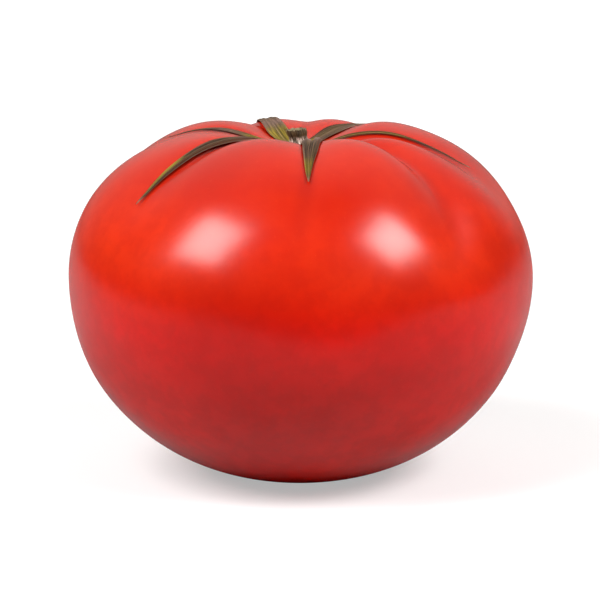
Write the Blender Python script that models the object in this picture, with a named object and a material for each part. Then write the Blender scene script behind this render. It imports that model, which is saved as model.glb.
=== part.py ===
"""A ripe ribbed tomato with its calyx and a short stem stub, resting on its blossom end.

Metres, +Z up. The origin is the centre of the small flat spot that the fruit rests on, and -Y is
the side that is seen first. Azimuths are in degrees, anticlockwise from +X seen from above.
"""

import math

import bmesh
import bpy
import numpy as np
from mathutils import Vector

# The fruit without its ribs: two superellipse quarters that meet at the widest ring.
WIDEST_RADIUS = 0.0500
WIDEST_HEIGHT = 0.0428
SHOULDER_RISE = 0.0338
SHOULDER_POWER = 2.60
UNDERSIDE_DROP = 0.0441
UNDERSIDE_POWER = 2.15

# The hollow round the stem, below the crown.
BASIN_DEPTH = 0.0066
BASIN_RADIUS = 0.0140
BASIN_POWER = 2.2

# Furrows between the lobes: azimuth at the stem, azimuth where it fades out, depth at the crown,
# and how far from the stem along the skin it fades out.
FURROWS = (
    (56, 42, 0.0013, 0.058),
    (84, 86, 0.0006, 0.052),
    (121, 119, 0.0010, 0.056),
    (168, 171, 0.0011, 0.054),
    (221, 219, 0.0019, 0.064),
    (279, 271, 0.0009, 0.072),
    (328, 307, 0.0026, 0.078),
    (349, 345, 0.0019, 0.060),
)
# How far each lobe stands out past the plain fruit, in the order of the furrow that it follows.
LOBE_SWELLS = (0.0005, 0.0011, 0.0012, 0.0002, 0.0002, 0.0002, 0.0003, 0.0010)
# A furrow is this wide at first. At its end it is wider by these shares of that, towards smaller
# and towards larger azimuths, and its bottom is rounder.
FURROW_HALF_ANGLE = 6.0
FURROW_WIDENINGS = (0.9, 1.8)
FURROW_ROUNDINGS = (0.30, 0.90)
FURROW_START = 0.003
FURROW_FULL = 0.013
FURROW_FADE_SHARE = 0.45
SWELL_START = 0.010
SWELL_FULL = 0.038
SWELL_END = 0.075

# Sepals: azimuth at the root, azimuth at the tip, how fast it sweeps from one to the other,
# distance from the stem to the tip along the skin, and greatest width.
SEPALS = (
    (66, 42, 0.7, 0.0305, 0.0042),
    (122, 106, 2.0, 0.0390, 0.0045),
    (168, 172.5, 1.0, 0.0305, 0.0028),
    (228, 217.8, 4.0, 0.0466, 0.0038),
    (290, 272.8, 2.0, 0.0380, 0.0043),
    (376, 348.5, 3.0, 0.0392, 0.0024),
)
SEPAL_ROOT = 0.0036
SEPAL_ROOT_WIDTH = 0.0030
SEPAL_TIP_WIDTH = 0.0006
SEPAL_WIDEST_SHARE = 0.30
SEPAL_THICKNESS = 0.0006
SEPAL_MIDRIB = 0.0002
SEPAL_MIDRIB_SHARE = 0.25
SEPAL_EDGE_CURL = 0.0002
# How far the roots rise off the skin, by turns, so that neighbours pass over each other.
SEPAL_ROOT_LIFTS = (0.00015, 0.00035)
SEPAL_ROOT_LIFT_SHARE = 0.25
SEPAL_STATIONS = 26
SEPAL_ACROSS = 7

# The receptacle, the ring that the sepals grow from.
RECEPTACLE_BORE = 0.0028
RECEPTACLE_RADIUS = 0.0048
RECEPTACLE_THICKNESS = 0.0013

# The stem stub, which leans a little and is cut aslant.
STEM_RADIUS = 0.0021
STEM_FOOT_FLARE = 0.0003
STEM_TOP_HEIGHT = 0.0744
STEM_LEAN = (-0.0009, -0.0001)
STEM_LEAN_POWER = 1.5
STEM_CUT_SLANT = 0.0002
STEM_RIDGES = 5
STEM_RIDGE_HEIGHT = 0.00017
STEM_RIDGE_FADE = 0.5
STEM_CUT_HOLLOW = 0.0005
STEM_CUT_INSET = 0.8

SKIN_GAP = 0.0003
STEM_GAP = 0.0003

# How much closer together the rows are at the stem, and the columns at the furrows: 0 is even.
ROW_EASE = 0.45
COLUMN_EASE = 0.5
FRUIT_ROWS = 40
LOBE_COLUMNS = 11
MERIDIAN_SAMPLES = 600
STEM_SIDES = 30
STEM_ROWS = 8
RING_SIDES = 36
SHARP_ANGLE = math.radians(50)

# Base colour, roughness and metallic value of each finish.
SKIN_FINISH = ((0.68, 0.035, 0.015, 1.0), 0.22, 0.0)
SEPAL_FINISH = ((0.16, 0.14, 0.05, 1.0), 0.50, 0.0)
STEM_FINISH = ((0.11, 0.10, 0.04, 1.0), 0.55, 0.0)


def clear_scene():
    for old in list(bpy.data.objects):
        bpy.data.objects.remove(old, do_unlink=True)


def make_material(name, finish):
    colour, roughness, metallic = finish
    material = bpy.data.materials.new(name)
    material.use_nodes = True
    shader = material.node_tree.nodes["Principled BSDF"]
    shader.inputs["Base Color"].default_value = colour
    shader.inputs["Roughness"].default_value = roughness
    shader.inputs["Metallic"].default_value = metallic
    return material


def smooth_step(value, low, high):
    share = np.clip((value - low) / (high - low), 0.0, 1.0)
    return share * share * (3.0 - 2.0 * share)


def plain_meridian():
    """Radius and height of the unribbed fruit, from the centre of the basin to the resting spot."""
    turn = np.linspace(0.0, math.pi / 2, MERIDIAN_SAMPLES)
    over = WIDEST_RADIUS * np.sin(turn) ** (2.0 / SHOULDER_POWER)
    basin = BASIN_DEPTH * np.exp(-((over / BASIN_RADIUS) ** BASIN_POWER))
    over_height = WIDEST_HEIGHT + SHOULDER_RISE * np.cos(turn) - basin
    last = math.asin(WIDEST_HEIGHT / UNDERSIDE_DROP)
    turn = np.linspace(0.0, last, MERIDIAN_SAMPLES)[1:]
    under = WIDEST_RADIUS * np.cos(turn) ** (2.0 / UNDERSIDE_POWER)
    under_height = WIDEST_HEIGHT - UNDERSIDE_DROP * np.sin(turn)
    return np.append(over, under), np.append(over_height, under_height)


class Meridian:
    """The unribbed outline, read by the distance along the skin from the centre of the basin."""

    def __init__(self):
        radius, height = plain_meridian()
        steps = np.hypot(np.diff(radius), np.diff(height))
        self.along = np.append(0.0, np.cumsum(steps))
        self.radius = radius
        self.height = height
        run = np.gradient(radius, self.along)
        rise = np.gradient(height, self.along)
        length = np.hypot(run, rise)
        self.out_radial = -rise / length
        self.out_up = run / length
        self.length = self.along[-1]

    def at(self, distance):
        curves = (self.radius, self.height, self.out_radial, self.out_up)
        return [float(np.interp(distance, self.along, curve)) for curve in curves]


def furrow_azimuths(distance):
    """The azimuth of each furrow at this distance from the stem, and of the first one once more."""
    azimuths = []
    for furrow in FURROWS:
        at_stem, at_fade = furrow[:2]
        reach = furrow[3]
        azimuths.append(at_stem + (at_fade - at_stem) * min(1.0, distance / reach))
    return azimuths + [azimuths[0] + 360.0]


def furrow_depth(azimuth, distance):
    """How far the furrows press the skin in at this azimuth and distance from the stem."""
    depth = 0.0
    for middle, furrow in zip(furrow_azimuths(distance), FURROWS):
        deepest, reach = furrow[2:]
        away = (azimuth - middle + 180.0) % 360.0 - 180.0
        gone = min(1.0, distance / reach) ** 2
        widening = FURROW_WIDENINGS[0] if away < 0.0 else FURROW_WIDENINGS[1]
        share = away / (FURROW_HALF_ANGLE * (1.0 + widening * gone))
        rounding = FURROW_ROUNDINGS[0] + (FURROW_ROUNDINGS[1] - FURROW_ROUNDINGS[0]) * gone
        crease = math.exp(rounding - math.hypot(share, rounding))
        begun = smooth_step(distance, FURROW_START, FURROW_FULL)
        left = 1.0 - smooth_step(distance, FURROW_FADE_SHARE * reach, reach)
        depth += deepest * crease * begun * left
    return float(depth)


def lobe_swell(azimuth, distance):
    """How far the lobe between two furrows stands out past the plain fruit."""
    edges = furrow_azimuths(distance)
    azimuth = (azimuth - edges[0]) % 360.0 + edges[0]
    place = sum(azimuth >= edge for edge in edges[:-1]) - 1
    share = (azimuth - edges[place]) / (edges[place + 1] - edges[place])
    begun = smooth_step(distance, SWELL_START, SWELL_FULL)
    left = 1.0 - smooth_step(distance, SWELL_FULL, SWELL_END)
    return float(LOBE_SWELLS[place] * math.sin(math.pi * share) ** 2 * begun * left)


def skin_point(meridian, azimuth, distance, lift=0.0):
    """A point of the ribbed skin, or one that stands this far out from it."""
    radius, height, out_radial, out_up = meridian.at(distance)
    out = lift + lobe_swell(azimuth, distance) - furrow_depth(azimuth, distance)
    turn = math.radians(azimuth)
    radius += out * out_radial
    return Vector((radius * math.cos(turn), radius * math.sin(turn), height + out * out_up))


def fruit_row(meridian, distance):
    """A ring of the skin, with its points close together at the furrows."""
    points = []
    edges = furrow_azimuths(distance)
    for start, end in zip(edges, edges[1:]):
        for step in range(LOBE_COLUMNS):
            share = step / LOBE_COLUMNS
            eased = 0.5 * (1.0 - math.cos(math.pi * share))
            place = start + (end - start) * (share + COLUMN_EASE * (eased - share))
            points.append(skin_point(meridian, place, distance))
    return points


def link_mesh(name, mesh_data, material):
    """An object of this bmesh, with its faces turned outwards and shaded smooth."""
    bmesh.ops.recalc_face_normals(mesh_data, faces=mesh_data.faces)
    mesh = bpy.data.meshes.new(name)
    mesh_data.to_mesh(mesh)
    mesh_data.free()
    mesh.shade_smooth()
    mesh.materials.append(material)
    made = bpy.data.objects.new(name, mesh)
    bpy.context.scene.collection.objects.link(made)
    return made


def join_rows(mesh_data, lower, upper):
    """Quads between two closed rows of as many vertices."""
    for index, vertex in enumerate(lower):
        following = (index + 1) % len(lower)
        mesh_data.faces.new((vertex, lower[following], upper[following], upper[index]))


def join_grid(mesh_data, rows):
    """Pairs of triangles between open rows, all split along the same diagonal."""
    for inner, outer in zip(rows, rows[1:]):
        for index in range(len(inner) - 1):
            mesh_data.faces.new((inner[index], inner[index + 1], outer[index + 1]))
            mesh_data.faces.new((inner[index], outer[index + 1], outer[index]))


def make_fruit(meridian, material):
    mesh_data = bmesh.new()
    centre = mesh_data.verts.new(skin_point(meridian, 0.0, 0.0))
    rows = []
    for row in range(1, FRUIT_ROWS + 1):
        share = row / FRUIT_ROWS
        distance = meridian.length * (share + ROW_EASE * (share * share - share))
        rows.append([mesh_data.verts.new(point) for point in fruit_row(meridian, distance)])
    for vertex in rows[-1]:
        vertex.co.z = 0.0
    for index, vertex in enumerate(rows[0]):
        mesh_data.faces.new((centre, vertex, rows[0][(index + 1) % len(rows[0])]))
    for inner, outer in zip(rows, rows[1:]):
        join_rows(mesh_data, inner, outer)
    mesh_data.faces.new(rows[-1])
    fruit = link_mesh("fruit", mesh_data, material)
    fruit.data.set_sharp_from_angle(angle=SHARP_ANGLE)
    return fruit


def sepal_half_width(share, widest):
    """Half the blade's width, this share of the way from its root to its tip."""
    if share < SEPAL_WIDEST_SHARE:
        eased = math.sin(0.5 * math.pi * share / SEPAL_WIDEST_SHARE)
        width = SEPAL_ROOT_WIDTH + (widest - SEPAL_ROOT_WIDTH) * eased
    else:
        left = (1.0 - share) / (1.0 - SEPAL_WIDEST_SHARE)
        width = SEPAL_TIP_WIDTH + (widest - SEPAL_TIP_WIDTH) * math.sin(0.5 * math.pi * left)
    return 0.5 * width


def make_sepal(meridian, sepal, root_lift, name, material):
    """A pointed blade that lies along the skin, with a midrib and raised edges."""
    root_azimuth, tip_azimuth, sweep, tip_distance, widest = sepal
    mesh_data = bmesh.new()
    top_rows = []
    under_rows = []
    for station in range(SEPAL_STATIONS):
        share = station / (SEPAL_STATIONS - 1)
        distance = SEPAL_ROOT + (tip_distance - SEPAL_ROOT) * share
        middle = tip_azimuth + (root_azimuth - tip_azimuth) * (1.0 - share) ** sweep
        half = sepal_half_width(share, widest)
        radius = meridian.at(distance)[0]
        rise = root_lift * (1.0 - smooth_step(share, 0.0, SEPAL_ROOT_LIFT_SHARE))
        relief = math.sin(math.pi * share)

        def blade_point(across, top):
            azimuth = middle + math.degrees(across * half / radius)
            lift = SKIN_GAP + rise
            if top:
                edge = SEPAL_EDGE_CURL * across ** 4
                rib = SEPAL_MIDRIB * math.exp(-((across / SEPAL_MIDRIB_SHARE) ** 2))
                lift += SEPAL_THICKNESS + relief * (edge + rib)
            return skin_point(meridian, azimuth, distance, lift)

        places = [2.0 * step / (SEPAL_ACROSS - 1) - 1.0 for step in range(SEPAL_ACROSS)]
        top_rows.append([mesh_data.verts.new(blade_point(place, True)) for place in places])
        under_rows.append([mesh_data.verts.new(blade_point(place, False)) for place in places])
    join_grid(mesh_data, top_rows)
    join_grid(mesh_data, under_rows)
    for edge in (0, -1):
        join_grid(mesh_data, [[row[edge] for row in rows] for rows in (top_rows, under_rows)])
        join_grid(mesh_data, (top_rows[edge], under_rows[edge]))
    return link_mesh(name, mesh_data, material)


def make_receptacle(meridian, material):
    """The ring round the foot of the stem, which follows the floor of the basin."""
    section = (
        (RECEPTACLE_BORE, SKIN_GAP),
        (RECEPTACLE_RADIUS, SKIN_GAP),
        (RECEPTACLE_RADIUS, SKIN_GAP + 0.5 * RECEPTACLE_THICKNESS),
        (0.5 * (RECEPTACLE_BORE + RECEPTACLE_RADIUS), SKIN_GAP + RECEPTACLE_THICKNESS),
        (RECEPTACLE_BORE, SKIN_GAP + RECEPTACLE_THICKNESS),
    )
    mesh_data = bmesh.new()
    rows = []
    for distance, lift in section:
        azimuths = [360.0 * side / RING_SIDES for side in range(RING_SIDES)]
        points = [skin_point(meridian, azimuth, distance, lift) for azimuth in azimuths]
        rows.append([mesh_data.verts.new(point) for point in points])
    for inner, outer in zip(rows, rows[1:] + rows[:1]):
        join_rows(mesh_data, inner, outer)
    return link_mesh("calyx", mesh_data, material)


def make_calyx(meridian, material):
    """The sepals joined to the receptacle in one body."""
    calyx = make_receptacle(meridian, material)
    blades = bpy.data.collections.new("blades")
    bpy.context.scene.collection.children.link(blades)
    for number, sepal in enumerate(SEPALS):
        root_lift = SEPAL_ROOT_LIFTS[number % 2]
        blade = make_sepal(meridian, sepal, root_lift, f"blade_{number}", material)
        bpy.context.scene.collection.objects.unlink(blade)
        blades.objects.link(blade)
    union = calyx.modifiers.new("join_blades", "BOOLEAN")
    union.operation = "UNION"
    union.operand_type = "COLLECTION"
    union.collection = blades
    union.solver = "EXACT"
    graph = bpy.context.evaluated_depsgraph_get()
    joined = bpy.data.meshes.new_from_object(calyx.evaluated_get(graph))
    calyx.modifiers.clear()
    calyx.data = joined
    for blade in list(blades.objects):
        bpy.data.objects.remove(blade, do_unlink=True)
    bpy.data.collections.remove(blades)
    calyx.data.set_sharp_from_angle(angle=SHARP_ANGLE)
    return calyx


def make_stem(meridian, material):
    """The ridged stub in the middle of the receptacle, cut off aslant and a little hollow."""
    mesh_data = bmesh.new()
    foot = meridian.height[0] + STEM_GAP

    def stem_point(turn, share, inset=1.0):
        ridge = STEM_RIDGE_HEIGHT * math.cos(STEM_RIDGES * turn)
        flare = STEM_FOOT_FLARE * (1.0 - share) ** 3
        radius = inset * (STEM_RADIUS + ridge * (1.0 - STEM_RIDGE_FADE * share) + flare)
        top = STEM_TOP_HEIGHT + STEM_CUT_SLANT * math.cos(turn) * inset
        top -= STEM_CUT_HOLLOW * (1.0 - inset)
        x = STEM_LEAN[0] * share ** STEM_LEAN_POWER + radius * math.cos(turn)
        y = STEM_LEAN[1] * share ** STEM_LEAN_POWER + radius * math.sin(turn)
        return Vector((x, y, foot + (top - foot) * share))

    turns = [2.0 * math.pi * side / STEM_SIDES for side in range(STEM_SIDES)]
    rows = []
    for row in range(STEM_ROWS + 1):
        share = row / STEM_ROWS
        rows.append([mesh_data.verts.new(stem_point(turn, share)) for turn in turns])
    rows.append([mesh_data.verts.new(stem_point(turn, 1.0, STEM_CUT_INSET)) for turn in turns])
    for lower, upper in zip(rows, rows[1:]):
        join_rows(mesh_data, lower, upper)
    mesh_data.faces.new(rows[0])
    pith = mesh_data.verts.new(stem_point(0.0, 1.0, 0.0))
    for index, vertex in enumerate(rows[-1]):
        mesh_data.faces.new((pith, vertex, rows[-1][(index + 1) % STEM_SIDES]))
    stem = link_mesh("stem", mesh_data, material)
    stem.data.set_sharp_from_angle(angle=SHARP_ANGLE)
    return stem


def main():
    clear_scene()
    meridian = Meridian()
    make_fruit(meridian, make_material("tomato_skin", SKIN_FINISH))
    make_calyx(meridian, make_material("sepal", SEPAL_FINISH))
    make_stem(meridian, make_material("stem", STEM_FINISH))


main()
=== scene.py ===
import math
from collections import namedtuple

import bpy
import numpy as np
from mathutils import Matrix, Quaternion, Vector


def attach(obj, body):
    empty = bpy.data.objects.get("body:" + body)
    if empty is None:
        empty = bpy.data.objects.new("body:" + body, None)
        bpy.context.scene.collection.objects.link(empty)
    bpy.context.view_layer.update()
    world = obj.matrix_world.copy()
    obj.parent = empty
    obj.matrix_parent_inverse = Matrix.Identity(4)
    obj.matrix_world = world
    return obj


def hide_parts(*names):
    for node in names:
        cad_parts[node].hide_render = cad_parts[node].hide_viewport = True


# The looks of a ripe ribbed tomato: its skin, dried sepals and stem stub, with light and camera.
# Metres, +Z up. The origin is the middle of the spot that it rests on, and -Y faces the camera.
# Azimuths are in degrees, anticlockwise from +X seen from above. Distances from the stem are
# measured along the skin, from the middle of the hollow that the stem stands in.

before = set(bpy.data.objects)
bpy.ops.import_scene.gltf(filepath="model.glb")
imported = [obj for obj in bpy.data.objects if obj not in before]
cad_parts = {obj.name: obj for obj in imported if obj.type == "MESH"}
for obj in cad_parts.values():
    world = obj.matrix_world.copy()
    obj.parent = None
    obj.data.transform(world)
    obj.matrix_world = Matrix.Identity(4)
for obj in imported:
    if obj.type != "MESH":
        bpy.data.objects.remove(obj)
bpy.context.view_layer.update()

# The fruit without its ribs: two superellipse quarters that meet at the widest ring.
WIDEST_RADIUS = 0.0500
WIDEST_HEIGHT = 0.0428
SHOULDER_RISE = 0.0338
SHOULDER_POWER = 2.60
UNDERSIDE_DROP = 0.0441
UNDERSIDE_POWER = 2.15

# The hollow round the stem, and the resting spot with the shallow dimple of the blossom scar.
BASIN_DEPTH = 0.0066
BASIN_RADIUS = 0.0140
BASIN_POWER = 2.2
RESTING_ROUNDING = 0.00035
DIMPLE_DEPTH = 0.0005
DIMPLE_RADIUS = 0.0040

# Furrows between the lobes: azimuth at the stem, azimuth where it fades out, depth at the crown,
# and how far from the stem it fades out.
FURROWS = (
    (56, 42, 0.0013, 0.058),
    (84, 86, 0.0006, 0.052),
    (121, 119, 0.0010, 0.056),
    (168, 171, 0.0011, 0.054),
    (221, 219, 0.0019, 0.064),
    (279, 266, 0.0009, 0.072),
    (328, 307, 0.0026, 0.078),
    (349, 345, 0.0019, 0.060),
)
# How far each lobe stands out past the plain fruit, in the order of the furrow that it follows.
LOBE_SWELLS = (0.0005, 0.0011, 0.0012, 0.0002, 0.0002, 0.0002, 0.0003, 0.0010)
FURROW_HALF_ANGLE = 6.0
FURROW_WIDENINGS = (0.9, 1.8)
FURROW_ROUNDINGS = (0.30, 0.90)
FURROW_START = 0.003
FURROW_FULL = 0.013
FURROW_FADE_SHARE = 0.45
# Width in degrees of the painted shade along the bottom of each furrow.
FURROW_SHADE_ANGLE = 4.0
SWELL_START = 0.010
SWELL_FULL = 0.038
SWELL_END = 0.075

# Slow waves over the skin: waves round the fruit, radians for each metre along it, and phase.
SKIN_WAVES = ((2, 60.0, 0.4), (3, -95.0, 2.1), (5, 130.0, 4.0), (8, -170.0, 1.2))
SKIN_WAVE_HEIGHT = 0.00014
SKIN_WAVE_FADE = 0.085
SKIN_WAVE_END = 0.105

# Rows and columns of the skin's mesh. Where they lie less than evenly, the rows are closer at the
# stem and the columns are closer at the furrows.
FRUIT_ROWS = 240
FRUIT_ROW_EVENNESS = 0.72
LOBE_COLUMNS = 60
LOBE_COLUMN_EVENNESS = 0.5
OUTLINE_SAMPLES = 1200

# Sepals. Each sweeps from one azimuth to another, the faster the higher its sweep. Its blade
# stands off the skin a little, and arches higher where it leaves the hollow at the stem. It is
# green over a part of its length, on one side or on both, darker from one place across it on
# with painted shade, and paler where it bends over the crown with painted sheen.
SEPAL_FIELDS = (
    "root tip sweep length width stand_off arch folds",
    "green_from green_to green_side shade_from worn",
)
Sepal = namedtuple("Sepal", " ".join(SEPAL_FIELDS))
SEPALS = {
    "sepal_back_right": Sepal(
        62, 43, 1.0, 0.0310, 0.0043, 0.0001, 0.0, 0.00045,
        -0.30, 0.15, 1.0, 0.45, 0.2,
    ),
    "sepal_back_left": Sepal(
        122, 106, 2.0, 0.0390, 0.0047, 0.0, 0.0, 0.00025,
        -0.20, 0.31, 0.0, 1.20, 0.5,
    ),
    "sepal_left": Sepal(
        168, 172.5, 1.0, 0.0305, 0.0028, 0.0001, 0.0, 0.00012,
        0.00, 0.35, 0.0, 0.70, 0.4,
    ),
    "sepal_front_left": Sepal(
        228, 217.8, 4.0, 0.0466, 0.0038, 0.0002, 0.0008, 0.00050,
        0.66, 0.93, -1.0, 0.30, 0.3,
    ),
    "sepal_front": Sepal(
        290, 272.8, 2.0, 0.0380, 0.0043, 0.0002, 0.0004, 0.00070,
        0.79, 0.95, 0.0, 0.62, 1.0,
    ),
    "sepal_right": Sepal(
        384, 348.5, 3.0, 0.0392, 0.0010, 0.0001, 0.0, 0.00006,
        0.00, 0.60, 0.0, 0.20, 0.2,
    ),
}
SEPAL_ARCH_PLACE = 0.23
SEPAL_ARCH_REACH = 0.13
SEPAL_BEND = 0.0165
SEPAL_BEND_REACH = 0.0032
SEPAL_ROOT = 0.0030
SEPAL_ROOT_WIDTH = 0.0034
SEPAL_TIP_WIDTH = 0.00015
SEPAL_WIDEST_SHARE = 0.30
SEPAL_TAPER_POWER = 0.92
SEPAL_THICKNESS = 0.00024
SEPAL_CLEARANCE = 0.00006
SEPAL_STIFFNESS = 0.5
SEPAL_EDGE_CURL = 0.00018
SEPAL_VEIN_HEIGHT = 0.00006
SEPAL_VEINS = 5
SEPAL_FULLNESS_POWER = 0.6
SEPAL_FOLD_POWER = 0.85
SEPAL_SETTLING = 0.0001
SEPAL_TIP_LIFT = 0.0003
SEPAL_SEED_STEP = 7.3
SEPAL_STATIONS = 110
SEPAL_ACROSS = 41

# The receptacle: a low lobed collar round the foot of the stem, which the sepals grow from.
RECEPTACLE_BORE = 0.0015
RECEPTACLE_RADIUS = 0.0050
RECEPTACLE_HEIGHT = 0.0013
RECEPTACLE_LOBE = 0.0010
RECEPTACLE_LOBE_HALF_ANGLE = 16.0
RECEPTACLE_RIPPLE = 0.00006
RECEPTACLE_RIPPLES = 17.0
RECEPTACLE_SINK = 0.0002
RECEPTACLE_ROWS = 24
RECEPTACLE_COLUMNS = 144

# The stem stub, narrow at the neck and wider at the knuckle where it was cut.
STEM_TOP_RADIUS = 0.0021
STEM_NECK_RADIUS = 0.0016
STEM_FOOT_FLARE = 0.0022
STEM_FLARE_END = 0.72
STEM_FLARE_POWER = 1.6
STEM_KNUCKLE_START = 0.45
STEM_KNUCKLE_FULL = 0.85
STEM_LEAN_POWER = 1.5
STEM_SINK = 0.0001
STEM_TOP_HEIGHT = 0.0744
STEM_LEAN = (-0.0009, -0.0001)
STEM_CUT_SLANT = 0.0002
STEM_RIDGES = 5
STEM_RIDGE_HEIGHT = 0.00013
STEM_FIBRES = 23
STEM_FIBRE_HEIGHT = 0.00004
STEM_RIM_UNEVENNESS = 0.00007
STEM_CUT_HOLLOW = 0.0007
STEM_COLUMNS = 160
STEM_ROWS = 48
STEM_CUT_ROWS = 14

# The camera looks down at the fruit from the height and distance of the photograph's.
CAMERA_ELEVATION = 11.3
CAMERA_DISTANCE = 0.50
CAMERA_TARGET = (0.00005, 0.0, 0.0372)
PIXELS_ACROSS = 600
PIXELS_PER_MILLIMETRE = 4.62
SENSOR_WIDTH = 36.0

# Softboxes: azimuth and elevation from the fruit, tilt about their own axis, half the width and
# half the height of the bright part, and radiance in its middle.
SOFTBOXES = {
    "softbox_left": (-147.3, 45.4, -1.9, 0.227, 0.264, 13.0),
    "softbox_right": (-30.4, 41.5, 17.0, 0.250, 0.184, 15.0),
}
SOFTBOX_DISTANCE = 0.90
SOFTBOX_FADE = 0.10

# The room: bright behind and above the fruit, dark on the camera's side.
ROOM_BRIGHT_SIDE = (0.0, 0.77, 0.64)
ROOM_BRIGHT_FROM = 0.52
ROOM_BRIGHT_FULL = 0.95
ROOM_DARK = 0.06
ROOM_BRIGHT = 0.55
ROOM_TINT = (1.0, 0.94, 0.88, 1.0)
FLOOR_SIZE = 12.0
FLOOR_TONE = 0.60
FLOOR_MIRRORED_TONE = 0.33
FLOOR_FRONT_MIRRORED_TONE = 0.05
FLOOR_GLOW = 0.42
FLOOR_FAR_GLOW = 1.07


def smooth_step(value, low, high):
    share = np.clip((value - low) / (high - low), 0.0, 1.0)
    return share * share * (3.0 - 2.0 * share)


# Shape of the skin

class Skin:
    """The fruit's skin, read by azimuth in degrees and by distance from the stem along it."""

    def __init__(self):
        turn = np.linspace(0.0, math.pi / 2, OUTLINE_SAMPLES)
        over = WIDEST_RADIUS * np.sin(turn) ** (2.0 / SHOULDER_POWER)
        basin = BASIN_DEPTH * np.exp(-((over / BASIN_RADIUS) ** BASIN_POWER))
        over_height = WIDEST_HEIGHT + SHOULDER_RISE * np.cos(turn) - basin
        under = WIDEST_RADIUS * np.cos(turn[1:]) ** (2.0 / UNDERSIDE_POWER)
        under_height = self.rested(WIDEST_HEIGHT - UNDERSIDE_DROP * np.sin(turn[1:]), under)
        self.radius = np.append(over, under)
        self.height = np.append(over_height, under_height)
        steps = np.hypot(np.diff(self.radius), np.diff(self.height))
        self.along = np.append(0.0, np.cumsum(steps))
        self.length = self.along[-1]
        run = np.gradient(self.radius, self.along)
        rise = np.gradient(self.height, self.along)
        size = np.hypot(run, rise)
        self.out_radial = -rise / size
        self.out_up = run / size

    @staticmethod
    def rested(height, radius):
        """The underside pressed flat where it meets the surface, with a dimple in its middle."""
        pressed = 0.5 * (height + np.sqrt(height * height + RESTING_ROUNDING ** 2))
        return pressed + DIMPLE_DEPTH * np.exp(-((radius / DIMPLE_RADIUS) ** 2))

    def radius_at(self, distance):
        return np.interp(distance, self.along, self.radius)

    def point(self, azimuth, distance, lift=0.0):
        """Points of the ribbed skin, or points that stand this far out from it."""
        azimuth, distance, lift = np.broadcast_arrays(azimuth, distance, lift)
        out = lift + lobe_swell(azimuth, distance) + unevenness(azimuth, distance)
        out = out - furrow_depth(azimuth, distance)
        radius = self.radius_at(distance) + out * np.interp(distance, self.along, self.out_radial)
        height = np.interp(distance, self.along, self.height)
        height = height + out * np.interp(distance, self.along, self.out_up)
        turn = np.radians(azimuth)
        return np.stack((radius * np.cos(turn), radius * np.sin(turn), height), axis=-1)


def furrow_azimuth(furrow, distance):
    at_stem, at_fade = furrow[:2]
    reach = furrow[3]
    return at_stem + (at_fade - at_stem) * np.minimum(1.0, distance / reach)


def furrow_share(furrow, distance):
    """How much of a furrow there is: none in the middle of the hollow, and none where it fades out."""
    reach = furrow[3]
    begun = smooth_step(distance, FURROW_START, FURROW_FULL)
    return begun * (1.0 - smooth_step(distance, FURROW_FADE_SHARE * reach, reach))


def azimuth_from_furrow(furrow, azimuth, distance):
    return (azimuth - furrow_azimuth(furrow, distance) + 180.0) % 360.0 - 180.0


def furrow_painted_shade(azimuth, distance):
    """How much painted shade darkens the skin at the bottom of the furrows."""
    shade = np.zeros(np.shape(azimuth))
    for furrow in FURROWS:
        away = azimuth_from_furrow(furrow, azimuth, distance)
        line = np.exp(-((away / FURROW_SHADE_ANGLE) ** 2))
        shade = np.maximum(shade, line * furrow_share(furrow, distance))
    return shade


def furrow_depth(azimuth, distance):
    """How far the furrows press the skin in."""
    depth = np.zeros(np.shape(azimuth))
    for furrow in FURROWS:
        deepest, reach = furrow[2:]
        away = azimuth_from_furrow(furrow, azimuth, distance)
        gone = np.minimum(1.0, distance / reach) ** 2
        share = away / (FURROW_HALF_ANGLE * (1.0 + np.where(away < 0.0, *FURROW_WIDENINGS) * gone))
        rounding = FURROW_ROUNDINGS[0] + (FURROW_ROUNDINGS[1] - FURROW_ROUNDINGS[0]) * gone
        crease = np.exp(rounding - np.hypot(share, rounding))
        depth = depth + deepest * crease * furrow_share(furrow, distance)
    return depth


def lobe_swell(azimuth, distance):
    """How far the lobes between the furrows stand out past the plain fruit."""
    swell = np.zeros(np.shape(azimuth))
    begun = smooth_step(distance, SWELL_START, SWELL_FULL)
    left = 1.0 - smooth_step(distance, SWELL_FULL, SWELL_END)
    for number, height in enumerate(LOBE_SWELLS):
        start = furrow_azimuth(FURROWS[number], distance)
        end = furrow_azimuth(FURROWS[(number + 1) % len(FURROWS)], distance)
        share = ((azimuth - start) % 360.0) / ((end - start) % 360.0)
        swell = swell + np.where(share < 1.0, height * np.sin(math.pi * share) ** 2, 0.0)
    return swell * begun * left


def unevenness(azimuth, distance):
    """Slow waves that keep the lobes from being perfectly even."""
    turn = np.radians(azimuth)
    waves = np.zeros(np.shape(azimuth))
    for count, along, phase in SKIN_WAVES:
        waves = waves + np.sin(count * turn + along * distance + phase)
    begun = smooth_step(distance, FURROW_START, FURROW_FULL)
    left = 1.0 - smooth_step(distance, SKIN_WAVE_FADE, SKIN_WAVE_END)
    return SKIN_WAVE_HEIGHT * waves * begun * left


# Meshes

def grid_faces(rows, columns, closed, first=0, flipped=False):
    """Corner numbers of the quads between rows of points, closed round or open."""
    index = first + np.arange(rows * columns).reshape(rows, columns)
    if closed:
        index = np.hstack((index, index[:, :1]))
    corners = (index[:-1, :-1], index[1:, :-1], index[1:, 1:], index[:-1, 1:])
    faces = np.stack(corners, axis=-1).reshape(-1, 4)
    return faces[:, ::-1] if flipped else faces


def fan_faces(centre, ring, flipped=False):
    """Triangles from one point to each pair of neighbours of a closed ring."""
    pairs = zip(ring, list(ring[1:]) + [ring[0]])
    return [(centre, b, a) if flipped else (centre, a, b) for a, b in pairs]


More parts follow.
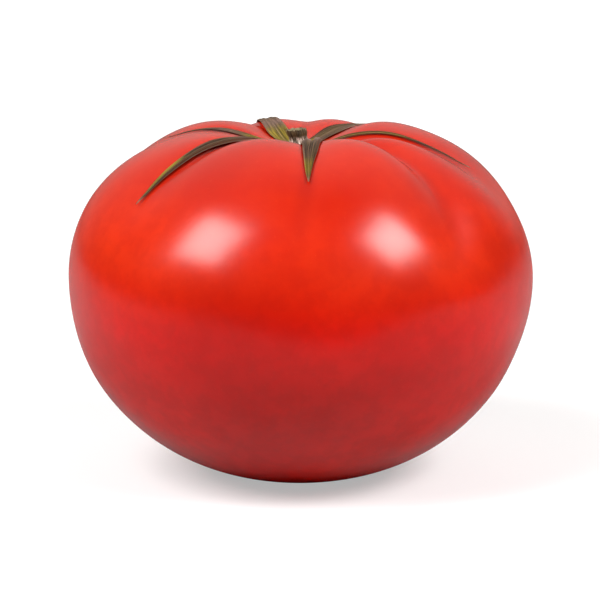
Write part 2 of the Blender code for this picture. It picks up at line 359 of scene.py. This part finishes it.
def add_piece(name, points, faces, material, node, attributes=None):
    """A smooth piece that rides on the part's body and stands for a node."""
    mesh = bpy.data.meshes.new(name)
    mesh.from_pydata(np.asarray(points).tolist(), [], [list(map(int, face)) for face in faces])
    for label, values in (attributes or {}).items():
        layer = mesh.attributes.new(label, "FLOAT", "POINT")
        layer.data.foreach_set("value", np.asarray(values, dtype=np.float32).ravel())
    mesh.validate()
    mesh.shade_smooth()
    mesh.materials.append(material)
    piece = bpy.data.objects.new(name, mesh)
    bpy.context.scene.collection.objects.link(piece)
    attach(piece, "root")
    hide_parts(node)
    return piece


def make_fruit(skin, material):
    """The whole skin, from the middle of the hollow at the stem to the blossom scar below."""
    shares = np.arange(1, FRUIT_ROWS) / FRUIT_ROWS
    eased = FRUIT_ROW_EVENNESS * shares + (1.0 - FRUIT_ROW_EVENNESS) * shares ** 2
    distances = skin.length * eased
    step = np.arange(LOBE_COLUMNS) / LOBE_COLUMNS
    bunched = 0.5 * (1.0 - np.cos(math.pi * step))
    places = LOBE_COLUMN_EVENNESS * step + (1.0 - LOBE_COLUMN_EVENNESS) * bunched
    columns = []
    for number, furrow in enumerate(FURROWS):
        start = furrow_azimuth(furrow, distances)
        end = furrow_azimuth(FURROWS[(number + 1) % len(FURROWS)], distances)
        width = (end - start) % 360.0
        columns.append(start[:, None] + width[:, None] * places[None, :])
    azimuths = np.hstack(columns)
    rows, count = azimuths.shape
    points = skin.point(azimuths, distances[:, None]).reshape(-1, 3)
    shade = furrow_painted_shade(azimuths, distances[:, None])
    poles = skin.point(np.zeros(2), np.array((0.0, skin.length)))
    points = np.vstack((points, poles))
    faces = grid_faces(rows, count, closed=True).tolist()
    faces += fan_faces(rows * count, list(range(count)))
    faces += fan_faces(rows * count + 1, list(range((rows - 1) * count, rows * count)), True)
    # The furrow attribute carries painted shade along the bottoms of the furrows.
    attributes = {"furrow": np.append(shade.ravel(), (0.0, 0.0))}
    return add_piece("fruit_skin", points, faces, material, "fruit", attributes)


def sepal_half_width(share, widest):
    """Half the blade's width along its length."""
    eased = np.sin(0.5 * math.pi * np.clip(share / SEPAL_WIDEST_SHARE, 0.0, 1.0))
    root = min(SEPAL_ROOT_WIDTH, widest)
    opening = root + (widest - root) * eased
    left = np.clip((1.0 - share) / (1.0 - SEPAL_WIDEST_SHARE), 0.0, 1.0)
    closing = np.sin(0.5 * math.pi * left) ** SEPAL_TAPER_POWER
    closing = SEPAL_TIP_WIDTH + (widest - SEPAL_TIP_WIDTH) * closing
    return 0.5 * np.where(share < SEPAL_WIDEST_SHARE, opening, closing)


def sepal_rest(azimuth, distance):
    """How far the blade's underside stands off the skin: it bridges the furrows in part."""
    depth = furrow_depth(azimuth, distance)
    middle = depth[:, azimuth.shape[1] // 2:azimuth.shape[1] // 2 + 1]
    banks = 0.5 * (depth[:, :1] + depth[:, -1:])
    return depth - (SEPAL_STIFFNESS * banks + (1.0 - SEPAL_STIFFNESS) * middle)


def make_sepal(skin, name, sepal, seed, material):
    """A thin blade that lies along the skin, folded at its midrib and curled at its edges."""
    draw = np.random.default_rng(seed)
    phases = draw.uniform(0.0, 2.0 * math.pi, 6)
    along = np.linspace(0.0, 1.0, SEPAL_STATIONS)[:, None]
    across = np.linspace(-1.0, 1.0, SEPAL_ACROSS)[None, :]
    distance = SEPAL_ROOT + (sepal.length - SEPAL_ROOT) * along
    middle = sepal.tip + (sepal.root - sepal.tip) * (1.0 - along) ** sepal.sweep
    half = sepal_half_width(along, sepal.width)
    side = np.sign(across)
    waver = 0.06 * np.sin(9.0 * along + phases[0] + side) + 0.03 * np.sin(23.0 * along + phases[1])
    azimuth = middle + np.degrees(across * half * (1.0 + waver) / skin.radius_at(distance))
    fullness = np.sin(math.pi * along) ** SEPAL_FULLNESS_POWER * (half / half.max())
    fold = sepal.folds * np.sin(math.pi * np.abs(across) ** SEPAL_FOLD_POWER) * fullness
    edge = 0.6 + 0.4 * np.sin(11.0 * along + phases[2] + 2.0 * side)
    curl = SEPAL_EDGE_CURL * edge * across ** 4 * fullness
    veins = SEPAL_VEIN_HEIGHT * np.cos(SEPAL_VEINS * math.pi * across + phases[3]) * fullness
    tip = SEPAL_TIP_LIFT * smooth_step(along, 0.88, 1.0) ** 2
    raised = sepal.stand_off * smooth_step(along, 0.02, 0.25)
    raised = raised * (1.0 - 0.6 * smooth_step(along, 0.8, 1.0))
    arch = sepal.arch * np.exp(-(((along - SEPAL_ARCH_PLACE) / SEPAL_ARCH_REACH) ** 2))
    raised = raised + arch * smooth_step(along, 0.0, 0.15)
    rest = (raised + sepal_rest(azimuth, distance)) / SEPAL_SETTLING
    rest = np.logaddexp(0.0, rest) * SEPAL_SETTLING
    lift = SEPAL_CLEARANCE + SEPAL_THICKNESS + rest + fold + curl + veins + tip
    thickness = SEPAL_THICKNESS * (1.0 - 0.5 * across ** 6) * (1.0 - 0.4 * along)
    top = skin.point(azimuth, distance, lift).reshape(-1, 3)
    under = skin.point(azimuth, distance, lift - thickness).reshape(-1, 3)
    count = SEPAL_STATIONS * SEPAL_ACROSS
    faces = grid_faces(SEPAL_STATIONS, SEPAL_ACROSS, False).tolist()
    faces += grid_faces(SEPAL_STATIONS, SEPAL_ACROSS, False, count, True).tolist()
    index = np.arange(count).reshape(SEPAL_STATIONS, SEPAL_ACROSS)
    rim = list(index[0, :]) + list(index[1:, -1]) + list(index[-1, -2::-1]) + list(index[-2:0:-1, 0])
    following = rim[1:] + rim[:1]
    faces += [(a, b, b + count, a + count) for a, b in zip(rim, following)]
    full = np.ones_like(azimuth)
    green = smooth_step(along, sepal.green_from - 0.06, sepal.green_from + 0.06)
    green = green * (1.0 - smooth_step(along, sepal.green_to - 0.08, sepal.green_to + 0.06)) * full
    if sepal.green_side:
        green = green * smooth_step(sepal.green_side * across, -0.55, 0.25)
    # Painted shade on the blade from one place across it on.
    shade = smooth_step(across, sepal.shade_from, sepal.shade_from + 0.35) * full
    # Painted sheen: paler where the blade bends over the crown.
    bend_sheen = sepal.worn * np.exp(-(((distance - SEPAL_BEND) / SEPAL_BEND_REACH) ** 2)) * full
    attributes = {
        "along": np.tile((along * full).ravel(), 2),
        "across": np.tile((across * full).ravel(), 2),
        "green": np.tile(green.ravel(), 2),
        "shade": np.tile(shade.ravel(), 2),
        "bend_sheen": np.tile(bend_sheen.ravel(), 2),
        "seed": np.full(2 * count, SEPAL_SEED_STEP * seed),
    }
    points = np.vstack((top, under))
    return add_piece(name, points, faces, material, "calyx", attributes)


def make_receptacle(skin, material):
    """The low collar round the foot of the stem, with a lobe towards each sepal."""
    azimuth = np.linspace(0.0, 360.0, RECEPTACLE_COLUMNS, endpoint=False)[None, :]
    share = np.linspace(0.0, 1.0, RECEPTACLE_ROWS)[:, None]
    lobes = np.zeros_like(azimuth)
    for sepal in SEPALS.values():
        away = (azimuth - sepal.root + 180.0) % 360.0 - 180.0
        lobes = np.maximum(lobes, np.exp(-((away / RECEPTACLE_LOBE_HALF_ANGLE) ** 2)))
    outer = RECEPTACLE_RADIUS + RECEPTACLE_LOBE * lobes
    distance = RECEPTACLE_BORE + (outer - RECEPTACLE_BORE) * share
    ripple = np.sin(np.radians(azimuth) * RECEPTACLE_RIPPLES) * np.sin(math.pi * share)
    lift = SEPAL_CLEARANCE + RECEPTACLE_HEIGHT * (1.0 - share ** 2) * (0.75 + 0.25 * lobes)
    lift = lift + RECEPTACLE_RIPPLE * ripple
    top = skin.point(azimuth, distance, lift)
    under = skin.point(azimuth, distance, 0.0 * lift - RECEPTACLE_SINK)
    points = np.vstack((top.reshape(-1, 3), under[::-1].reshape(-1, 3)))
    faces = grid_faces(2 * RECEPTACLE_ROWS, RECEPTACLE_COLUMNS, True).tolist()
    last = (2 * RECEPTACLE_ROWS - 1) * RECEPTACLE_COLUMNS
    faces += [
        (last + a, a, b, last + b)
        for a, b in zip(range(RECEPTACLE_COLUMNS), list(range(1, RECEPTACLE_COLUMNS)) + [0])
    ]
    size = len(points)
    attributes = {
        "along": np.full(size, 0.1),
        "across": np.tile(np.sin(np.radians(azimuth) * 9.0).ravel(), 2 * RECEPTACLE_ROWS) * 0.5,
        "green": np.full(size, 0.55),
        "shade": np.zeros(size),
        "bend_sheen": np.zeros(size),
        "seed": np.full(size, 3.1),
    }
    return add_piece("receptacle", points, faces, material, "calyx", attributes)


def make_stem(skin, material):
    """The ridged stub with its uneven, slanting, hollowed cut."""
    turn = np.linspace(0.0, 2.0 * math.pi, STEM_COLUMNS, endpoint=False)[None, :]
    foot = skin.height[0] - STEM_SINK

    def ring(share, inset):
        ridge = STEM_RIDGE_HEIGHT * np.cos(STEM_RIDGES * turn + 0.4)
        ridge = ridge + STEM_FIBRE_HEIGHT * np.cos(STEM_FIBRES * turn + 3.0 * share)
        knuckle = smooth_step(share, STEM_KNUCKLE_START, STEM_KNUCKLE_FULL)
        radius = STEM_NECK_RADIUS + (STEM_TOP_RADIUS - STEM_NECK_RADIUS) * knuckle
        flare = np.clip(1.0 - share / STEM_FLARE_END, 0.0, 1.0) ** STEM_FLARE_POWER
        radius = radius + STEM_FOOT_FLARE * flare + ridge
        rim = STEM_RIM_UNEVENNESS * (np.sin(7.0 * turn + 1.0) + 0.6 * np.sin(13.0 * turn + 2.0))
        top = STEM_TOP_HEIGHT + STEM_CUT_SLANT * np.cos(turn) * inset + rim * inset ** 4
        top = top - STEM_CUT_HOLLOW * (1.0 - inset ** 3)
        x = STEM_LEAN[0] * share ** STEM_LEAN_POWER + inset * radius * np.cos(turn)
        y = STEM_LEAN[1] * share ** STEM_LEAN_POWER + inset * radius * np.sin(turn)
        return np.stack((x, y, foot + (top - foot) * share), axis=-1)

    sides = [ring(row / STEM_ROWS, 1.0) for row in range(STEM_ROWS + 1)]
    cut = [ring(1.0, 1.0 - row / STEM_CUT_ROWS) for row in range(1, STEM_CUT_ROWS)]
    rings = sides + cut
    points = np.concatenate([part.reshape(-1, 3) for part in rings])
    centre = points[-STEM_COLUMNS:].mean(axis=0)
    bottom = points[:STEM_COLUMNS].mean(axis=0)
    points = np.vstack((points, centre, bottom))
    rows = len(rings)
    faces = grid_faces(rows, STEM_COLUMNS, True, flipped=True).tolist()
    last_ring = list(range((rows - 1) * STEM_COLUMNS, rows * STEM_COLUMNS))
    faces += fan_faces(rows * STEM_COLUMNS, last_ring)
    faces += fan_faces(rows * STEM_COLUMNS + 1, list(range(STEM_COLUMNS)), True)
    heights = [row / STEM_ROWS for row in range(STEM_ROWS + 1)] + [1.0] * len(cut)
    cuts = [0.0] * (STEM_ROWS + 1) + [(row + 1) / STEM_CUT_ROWS for row in range(len(cut))]
    attributes = {
        "along": np.append(np.repeat(heights, STEM_COLUMNS), (1.0, 0.0)),
        "cut": np.append(np.repeat(cuts, STEM_COLUMNS), (1.0, 0.0)),
        "round": np.append(np.tile(turn.ravel() / (2.0 * math.pi), rows), (0.0, 0.0)),
    }
    return add_piece("stem_stub", points, faces, material, "stem", attributes)


# Materials

# The skin from the crown down, and what lies over it in patches.
# The crown's darker red is painted shade and the lower part's brighter red is painted bounce light.
SKIN_CROWN_PAINTED_SHADE = (0.50, 0.016, 0.0024, 1.0)
SKIN_SHOULDER = (0.70, 0.027, 0.0034, 1.0)
SKIN_MIDDLE = (0.75, 0.0050, 0.0004, 1.0)
SKIN_LOWER_PAINTED_BOUNCE = (0.90, 0.0070, 0.0008, 1.0)
SKIN_DEEPENING = (0.84, 0.62, 0.56, 1.0)
SKIN_MOTTLE = (0.42, 0.006, 0.002, 1.0)
# Painted shade along the bottoms of the furrows.
SKIN_FURROW_PAINTED_SHADE = (0.32, 0.006, 0.002, 1.0)
SKIN_SPECK = (0.82, 0.10, 0.022, 1.0)
SKIN_NEAR_STEM = (0.62, 0.11, 0.018, 1.0)
SKIN_CORK = (0.24, 0.11, 0.045, 1.0)
SKIN_ROUGHNESS = (0.21, 0.27)
CORK_ROUGHNESS = 0.4

# Dark and pale streaks come in pairs.
SEPAL_BROWNS = ((0.020, 0.010, 0.006, 1.0), (0.150, 0.088, 0.056, 1.0))
SEPAL_OLIVES = ((0.062, 0.045, 0.008, 1.0), (0.270, 0.195, 0.026, 1.0))
SEPAL_PATCH = (0.095, 0.062, 0.018, 1.0)
# Painted sheen where the blade bends over the crown.
SEPAL_PAINTED_SHEEN = (0.300, 0.185, 0.160, 1.0)
# Painted shade on one side of the blade.
SEPAL_PAINTED_SHADE = (0.060, 0.016, 0.006, 1.0)
SEPAL_PALE = (0.270, 0.175, 0.120, 1.0)
SEPAL_DRY_TIP = (0.360, 0.190, 0.120, 1.0)
STEM_BARKS = ((0.028, 0.019, 0.008, 1.0), (0.120, 0.082, 0.036, 1.0))
STEM_PITHS = ((0.08, 0.060, 0.025, 1.0), (0.26, 0.21, 0.11, 1.0))
# Painted highlight on the stem's neck.
STEM_NECK_PAINTED_HIGHLIGHT = (0.560, 0.430, 0.360, 1.0)
STEM_RIM = (0.300, 0.250, 0.150, 1.0)


class Nodes:
    """A new material's node tree, with short ways to add and join nodes."""

    def __init__(self, name):
        self.material = bpy.data.materials.new(name)
        self.material.use_nodes = True
        self.tree = self.material.node_tree
        self.shader = self.tree.nodes["Principled BSDF"]

    def add(self, kind, inputs=None, **settings):
        node = self.tree.nodes.new(kind)
        for label, value in settings.items():
            setattr(node, label, value)
        for label, value in (inputs or {}).items():
            self.feed(node.inputs[label], value)
        return node

    def feed(self, socket, value):
        if isinstance(value, bpy.types.NodeSocket):
            self.tree.links.new(value, socket)
        else:
            socket.default_value = value

    def place(self):
        return self.add("ShaderNodeTexCoord").outputs["Object"]

    def attribute(self, label):
        return self.add("ShaderNodeAttribute", attribute_name=label).outputs["Fac"]

    def math(self, operation, *values):
        node = self.add("ShaderNodeMath", operation=operation)
        for socket, value in zip(node.inputs, values):
            self.feed(socket, value)
        return node.outputs[0]

    def noise(self, vector, scale, detail=3.0, roughness=0.5):
        inputs = {"Vector": vector, "Scale": scale, "Detail": detail, "Roughness": roughness}
        return self.add("ShaderNodeTexNoise", inputs).outputs["Fac"]

    def remap(self, value, low, high, to_low=0.0, to_high=1.0):
        inputs = {"Value": value, "From Min": low, "From Max": high}
        inputs.update({"To Min": to_low, "To Max": to_high})
        node = self.add("ShaderNodeMapRange", inputs, interpolation_type="SMOOTHSTEP")
        return node.outputs["Result"]

    def mix(self, share, first, second, blend="MIX"):
        node = self.add("ShaderNodeMix", data_type="RGBA", blend_type=blend)
        self.feed(node.inputs[0], share)
        self.feed(node.inputs[6], first)
        self.feed(node.inputs[7], second)
        return node.outputs[2]

    def combine(self, x, y, z):
        return self.add("ShaderNodeCombineXYZ", {"X": x, "Y": y, "Z": z}).outputs[0]

    def bump(self, height, strength, distance):
        inputs = {"Height": height, "Strength": strength, "Distance": distance}
        return self.add("ShaderNodeBump", inputs).outputs["Normal"]

    def finish(self, **sockets):
        for label, value in sockets.items():
            self.feed(self.shader.inputs[label.replace("_", " ")], value)
        return self.material


def skin_material():
    """Waxy red skin: slow shifts of red, painted shade on the crown and along the furrows, painted bounce
    light low down, fine pale specks, and cork at the stem and the scar.
    """
    nodes = Nodes("tomato_skin")
    place = nodes.place()
    parts = nodes.add("ShaderNodeSeparateXYZ", {"Vector": place}).outputs
    across = nodes.math("POWER", parts["X"], 2.0)
    away = nodes.math("SQRT", nodes.math("ADD", across, nodes.math("POWER", parts["Y"], 2.0)))
    height = parts["Z"]
    # The red shifts with height: orange-red at the shoulder, deeper in the middle, painted bounce light
    # low down and painted shade on the crown.
    red_and_painted_light = nodes.mix(nodes.remap(height, 0.054, 0.037), SKIN_SHOULDER, SKIN_MIDDLE)
    red_and_painted_light = nodes.mix(nodes.remap(height, 0.030, 0.012), red_and_painted_light, SKIN_LOWER_PAINTED_BOUNCE)
    red_and_painted_light = nodes.mix(nodes.remap(height, 0.054, 0.072), red_and_painted_light, SKIN_CROWN_PAINTED_SHADE)
    slow = nodes.remap(nodes.noise(place, 46.0, 1.5), 0.30, 0.70)
    deep = nodes.mix(1.0, red_and_painted_light, SKIN_DEEPENING, "MULTIPLY")
    red = nodes.mix(slow, deep, red_and_painted_light)
    mottled = nodes.remap(nodes.noise(place, 240.0, 3.0, 0.6), 0.35, 0.65, 0.22, 0.0)
    red = nodes.mix(mottled, red, SKIN_MOTTLE)
    # Painted shade: a deeper red along the bottoms of the furrows.
    painted_furrow_shade = nodes.remap(nodes.attribute("furrow"), 0.2, 1.0, 0.0, 0.38)
    red = nodes.mix(painted_furrow_shade, red, SKIN_FURROW_PAINTED_SHADE)
    specks = nodes.add("ShaderNodeTexVoronoi", {"Vector": place, "Scale": 620.0, "Randomness": 1.0})
    speck = nodes.remap(specks.outputs["Distance"], 0.04, 0.14, 0.08, 0.0)
    red = nodes.mix(speck, red, SKIN_SPECK)
    upper = nodes.remap(height, 0.055, 0.060)
    patchy = nodes.noise(place, 700.0, 4.0, 0.6)
    reach = nodes.math("ADD", away, nodes.math("MULTIPLY", patchy, 0.004))
    shoulder = nodes.math("MULTIPLY", upper, nodes.remap(reach, 0.0075, 0.0120, 0.45, 0.0))
    red = nodes.mix(shoulder, red, SKIN_NEAR_STEM)
    cork = nodes.math("MULTIPLY", upper, nodes.remap(reach, 0.0062, 0.0078, 0.85, 0.0))
    lower = nodes.remap(height, 0.004, 0.003)
    scar = nodes.math("MULTIPLY", lower, nodes.remap(reach, 0.0030, 0.0040, 0.9, 0.0))
    cork = nodes.math("MAXIMUM", cork, scar)
    colour = nodes.mix(cork, red, SKIN_CORK)
    fine = nodes.noise(place, 2600.0, 2.0)
    waxed = nodes.remap(fine, 0.2, 0.8, *SKIN_ROUGHNESS)
    rough = nodes.math("ADD", waxed, nodes.math("MULTIPLY", cork, CORK_ROUGHNESS))
    waxy = nodes.noise(place, 160.0, 3.0, 0.6)
    relief = nodes.math("ADD", waxy, nodes.math("MULTIPLY", fine, 0.05))
    corky = nodes.math("MULTIPLY", nodes.math("MULTIPLY", patchy, cork), 2.0)
    relief = nodes.math("ADD", relief, corky)
    normal = nodes.bump(relief, 0.25, 0.00012)
    nodes.shader.subsurface_method = "BURLEY"
    return nodes.finish(
        Base_Color=colour,
        Roughness=rough,
        Normal=normal,
        IOR=1.46,
        Subsurface_Weight=0.12,
        Subsurface_Radius=(1.0, 0.18, 0.08),
        Subsurface_Scale=0.002,
    )


def sepal_material():
    """Drying leaf: purple-brown and olive with yellow-green left, streaked along its length, with painted
    sheen where it bends over the crown and painted shade along one side.
    """
    nodes = Nodes("sepal")
    place = nodes.place()
    along = nodes.attribute("along")
    across = nodes.attribute("across")
    seed = nodes.attribute("seed")
    streak_across = nodes.math("MULTIPLY", across, 6.0)
    streak_place = nodes.combine(streak_across, nodes.math("MULTIPLY", along, 2.2), seed)
    streaks = nodes.remap(nodes.noise(streak_place, 1.6, 4.0, 0.7), 0.38, 0.60)
    patch_across = nodes.math("MULTIPLY", across, 0.8)
    patch_place = nodes.combine(patch_across, nodes.math("MULTIPLY", along, 3.0), seed)
    patches = nodes.remap(nodes.noise(patch_place, 1.3, 2.0), 0.35, 0.65)
    grain = nodes.noise(place, 5200.0, 2.0)
    brown = nodes.mix(streaks, *SEPAL_BROWNS)
    brown = nodes.mix(nodes.math("MULTIPLY", patches, 0.55), brown, SEPAL_PATCH)
    olive = nodes.mix(streaks, *SEPAL_OLIVES)
    leaf = nodes.mix(nodes.attribute("green"), brown, olive)
    # Painted sheen where the blade bends over the crown, in place of the bright room's reflection.
    worn = nodes.math("MULTIPLY", nodes.attribute("bend_sheen"), nodes.remap(streaks, 0.0, 1.0, 0.45, 0.85))
    leaf = nodes.mix(worn, leaf, SEPAL_PAINTED_SHEEN)
    # Painted shade on one side of the blade.
    shaded = nodes.math("MULTIPLY", nodes.attribute("shade"), 0.8)
    leaf = nodes.mix(shaded, leaf, SEPAL_PAINTED_SHADE)
    side = nodes.math("ABSOLUTE", across)
    pale_edge = nodes.remap(side, 0.88, 0.99, 0.0, 0.35)
    midrib = nodes.remap(side, 0.03, 0.09, 0.45, 0.0)
    pale = nodes.math("MAXIMUM", pale_edge, midrib)
    leaf = nodes.mix(pale, leaf, SEPAL_PALE)
    dry = nodes.remap(along, 0.94, 1.00, 0.0, 0.85)
    leaf = nodes.mix(dry, leaf, SEPAL_DRY_TIP)
    rough = nodes.remap(streaks, 0.0, 1.0, 0.42, 0.60)
    height = nodes.math("ADD", streaks, nodes.math("MULTIPLY", grain, 0.35))
    return nodes.finish(
        Base_Color=leaf,
        Roughness=rough,
        Normal=nodes.bump(height, 0.7, 0.00014),
        IOR=1.40,
        Specular_IOR_Level=0.15,
    )


def stem_material():
    """Dry ridged stalk: dark olive-brown with a painted highlight on the neck, and a paler fibrous cut.
    """
    nodes = Nodes("stem")
    place = nodes.place()
    along = nodes.attribute("along")
    cut = nodes.attribute("cut")
    around = nodes.attribute("round")
    fibre_around = nodes.math("MULTIPLY", around, 42.0)
    fibre_place = nodes.combine(fibre_around, nodes.math("MULTIPLY", along, 1.5), 0.0)
    fibres = nodes.remap(nodes.noise(fibre_place, 1.0, 3.0, 0.6), 0.35, 0.65)
    bark = nodes.mix(fibres, *STEM_BARKS)
    # Painted highlight: pale pinkish streaks on the neck in place of the softboxes' glints.
    neck_highlight = nodes.remap(along, 0.56, 0.72, 0.95, 0.0)
    neck_highlight = nodes.math("MULTIPLY", neck_highlight, nodes.remap(fibres, 0.3, 0.8))
    bark = nodes.mix(neck_highlight, bark, STEM_NECK_PAINTED_HIGHLIGHT)
    rim = nodes.remap(along, 0.90, 0.97, 0.0, 0.9)
    rim = nodes.math("MULTIPLY", rim, nodes.remap(fibres, 0.5, 1.0))
    bark = nodes.mix(rim, bark, STEM_RIM)
    pith = nodes.mix(nodes.noise(place, 2600.0, 3.0), *STEM_PITHS)
    colour = nodes.mix(nodes.remap(cut, 0.02, 0.12), bark, pith)
    grain = nodes.noise(place, 4200.0, 3.0)
    height = nodes.math("ADD", fibres, nodes.math("MULTIPLY", grain, 0.4))
    return nodes.finish(
        Base_Color=colour,
        Roughness=nodes.remap(grain, 0.2, 0.8, 0.45, 0.65),
        Normal=nodes.bump(height, 0.6, 0.00012),
        IOR=1.42,
    )


def floor_material():
    """A plain pale surface, see-through from below. The fruit mirrors it darker, most of all in front."""
    nodes = Nodes("pale_floor")
    parts = nodes.add("ShaderNodeSeparateXYZ", {"Vector": nodes.place()}).outputs
    shown = nodes.add("ShaderNodeLightPath").outputs["Is Camera Ray"]
    near = nodes.remap(parts["Y"], -0.200, -0.120, FLOOR_FRONT_MIRRORED_TONE, FLOOR_MIRRORED_TONE)
    tone = nodes.math("MAXIMUM", near, nodes.math("MULTIPLY", shown, FLOOR_TONE))
    far = nodes.remap(parts["Y"], 0.05, 1.2, FLOOR_GLOW, FLOOR_FAR_GLOW)
    below = nodes.add("ShaderNodeNewGeometry").outputs["Backfacing"]
    choice = nodes.add("ShaderNodeMixShader", {"Fac": below})
    nodes.tree.links.new(nodes.shader.outputs[0], choice.inputs[1])
    nodes.tree.links.new(nodes.add("ShaderNodeBsdfTransparent").outputs[0], choice.inputs[2])
    nodes.tree.links.new(choice.outputs[0], nodes.tree.nodes["Material Output"].inputs["Surface"])
    return nodes.finish(
        Base_Color=nodes.combine(tone, tone, tone),
        Roughness=0.8,
        Specular_IOR_Level=0.0,
        Emission_Color=(1.0, 1.0, 1.0, 1.0),
        Emission_Strength=nodes.math("MULTIPLY", shown, far),
    )


# Floor, light and camera

def make_floor():
    half = FLOOR_SIZE / 2
    mesh = bpy.data.meshes.new("floor")
    corners = [(-half, -half, 0.0), (half, -half, 0.0), (half, half, 0.0), (-half, half, 0.0)]
    mesh.from_pydata(corners, [], [(0, 1, 2, 3)])
    mesh.materials.append(floor_material())
    floor = bpy.data.objects.new("floor", mesh)
    bpy.context.scene.collection.objects.link(floor)


def aim(item, target, tilt=0.0):
    """Turn a lamp or the camera towards a point, tilted about its own axis."""
    towards = (Vector(target) - item.location).to_track_quat("-Z", "Y")
    item.rotation_euler = (towards @ Quaternion((0.0, 0.0, 1.0), tilt)).to_euler()


def make_softbox(name, azimuth, elevation, tilt, half_width, half_height, radiance):
    """A lamp that is brightest in its middle and fades towards its edges."""
    lamp = bpy.data.lights.new(name, "AREA")
    lamp.shape = "RECTANGLE"
    lamp.size = 2.0 * (half_width + SOFTBOX_FADE)
    lamp.size_y = 2.0 * (half_height + SOFTBOX_FADE)
    lamp.energy = radiance * math.pi * lamp.size * lamp.size_y
    lamp.use_nodes = True
    tree = lamp.node_tree
    place = tree.nodes.new("ShaderNodeNewGeometry").outputs["Parametric"]
    parts = tree.nodes.new("ShaderNodeSeparateXYZ")
    tree.links.new(place, parts.inputs[0])
    levels = []
    for label, size, half in (("X", lamp.size, half_width), ("Y", lamp.size_y, half_height)):
        offset = tree.nodes.new("ShaderNodeMath")
        offset.operation = "SUBTRACT"
        offset.inputs[1].default_value = 0.5
        tree.links.new(parts.outputs[label], offset.inputs[0])
        away = tree.nodes.new("ShaderNodeMath")
        away.operation = "ABSOLUTE"
        tree.links.new(offset.outputs[0], away.inputs[0])
        level = tree.nodes.new("ShaderNodeMapRange")
        level.interpolation_type = "SMOOTHSTEP"
        level.inputs["From Min"].default_value = (half - SOFTBOX_FADE) / size
        level.inputs["From Max"].default_value = (half + SOFTBOX_FADE) / size
        level.inputs["To Min"].default_value = 1.0
        level.inputs["To Max"].default_value = 0.0
        tree.links.new(away.outputs[0], level.inputs["Value"])
        levels.append(level.outputs["Result"])
    both = tree.nodes.new("ShaderNodeMath")
    both.operation = "MULTIPLY"
    tree.links.new(levels[0], both.inputs[0])
    tree.links.new(levels[1], both.inputs[1])
    tree.links.new(both.outputs[0], tree.nodes["Emission"].inputs["Strength"])
    box = bpy.data.objects.new(name, lamp)
    bpy.context.scene.collection.objects.link(box)
    turn = math.radians(azimuth)
    rise = math.radians(elevation)
    flat = SOFTBOX_DISTANCE * math.cos(rise)
    up = SOFTBOX_DISTANCE * math.sin(rise)
    box.location = Vector(CAMERA_TARGET) + Vector((flat * math.cos(turn), flat * math.sin(turn), up))
    aim(box, CAMERA_TARGET, math.radians(tilt))


def make_room():
    """Light from all round, brightest behind and above, which shows as white behind the floor."""
    world = bpy.data.worlds.new("room")
    world.use_nodes = True
    bpy.context.scene.world = world
    tree = world.node_tree
    background = tree.nodes["Background"]
    direction = tree.nodes.new("ShaderNodeTexCoord")
    towards = tree.nodes.new("ShaderNodeVectorMath")
    towards.operation = "DOT_PRODUCT"
    towards.inputs[1].default_value = ROOM_BRIGHT_SIDE
    tree.links.new(direction.outputs["Generated"], towards.inputs[0])
    level = tree.nodes.new("ShaderNodeMapRange")
    level.inputs["From Min"].default_value = ROOM_BRIGHT_FROM
    level.inputs["From Max"].default_value = ROOM_BRIGHT_FULL
    level.inputs["To Min"].default_value = ROOM_DARK
    level.inputs["To Max"].default_value = ROOM_BRIGHT
    tree.links.new(towards.outputs["Value"], level.inputs["Value"])
    seen = tree.nodes.new("ShaderNodeLightPath")
    choice = tree.nodes.new("ShaderNodeMix")
    choice.inputs[3].default_value = 1.0
    tree.links.new(seen.outputs["Is Camera Ray"], choice.inputs[0])
    tree.links.new(level.outputs["Result"], choice.inputs[2])
    tree.links.new(choice.outputs[0], background.inputs["Strength"])
    tint = tree.nodes.new("ShaderNodeMix")
    tint.data_type = "RGBA"
    tint.inputs[6].default_value = ROOM_TINT
    tint.inputs[7].default_value = (1.0, 1.0, 1.0, 1.0)
    tree.links.new(seen.outputs["Is Camera Ray"], tint.inputs[0])
    tree.links.new(tint.outputs[2], background.inputs["Color"])


def make_camera():
    camera = bpy.data.cameras.new("camera")
    item = bpy.data.objects.new("camera", camera)
    bpy.context.scene.collection.objects.link(item)
    rise = math.radians(CAMERA_ELEVATION)
    away = Vector((0.0, -math.cos(rise), math.sin(rise))) * CAMERA_DISTANCE
    item.location = Vector(CAMERA_TARGET) + away
    aim(item, CAMERA_TARGET)
    seen_width = PIXELS_ACROSS / PIXELS_PER_MILLIMETRE / 1000.0
    camera.sensor_width = SENSOR_WIDTH
    camera.lens = SENSOR_WIDTH * CAMERA_DISTANCE / seen_width
    bpy.context.scene.camera = item


def main():
    skin = Skin()
    make_fruit(skin, skin_material())
    leaf = sepal_material()
    for seed, (name, sepal) in enumerate(SEPALS.items(), start=1):
        make_sepal(skin, name, sepal, seed, leaf)
    make_receptacle(skin, leaf)
    make_stem(skin, stem_material())
    make_floor()
    for name, settings in SOFTBOXES.items():
        make_softbox(name, *settings)
    make_room()
    make_camera()
    bpy.context.scene.view_settings.view_transform = "Standard"


main()
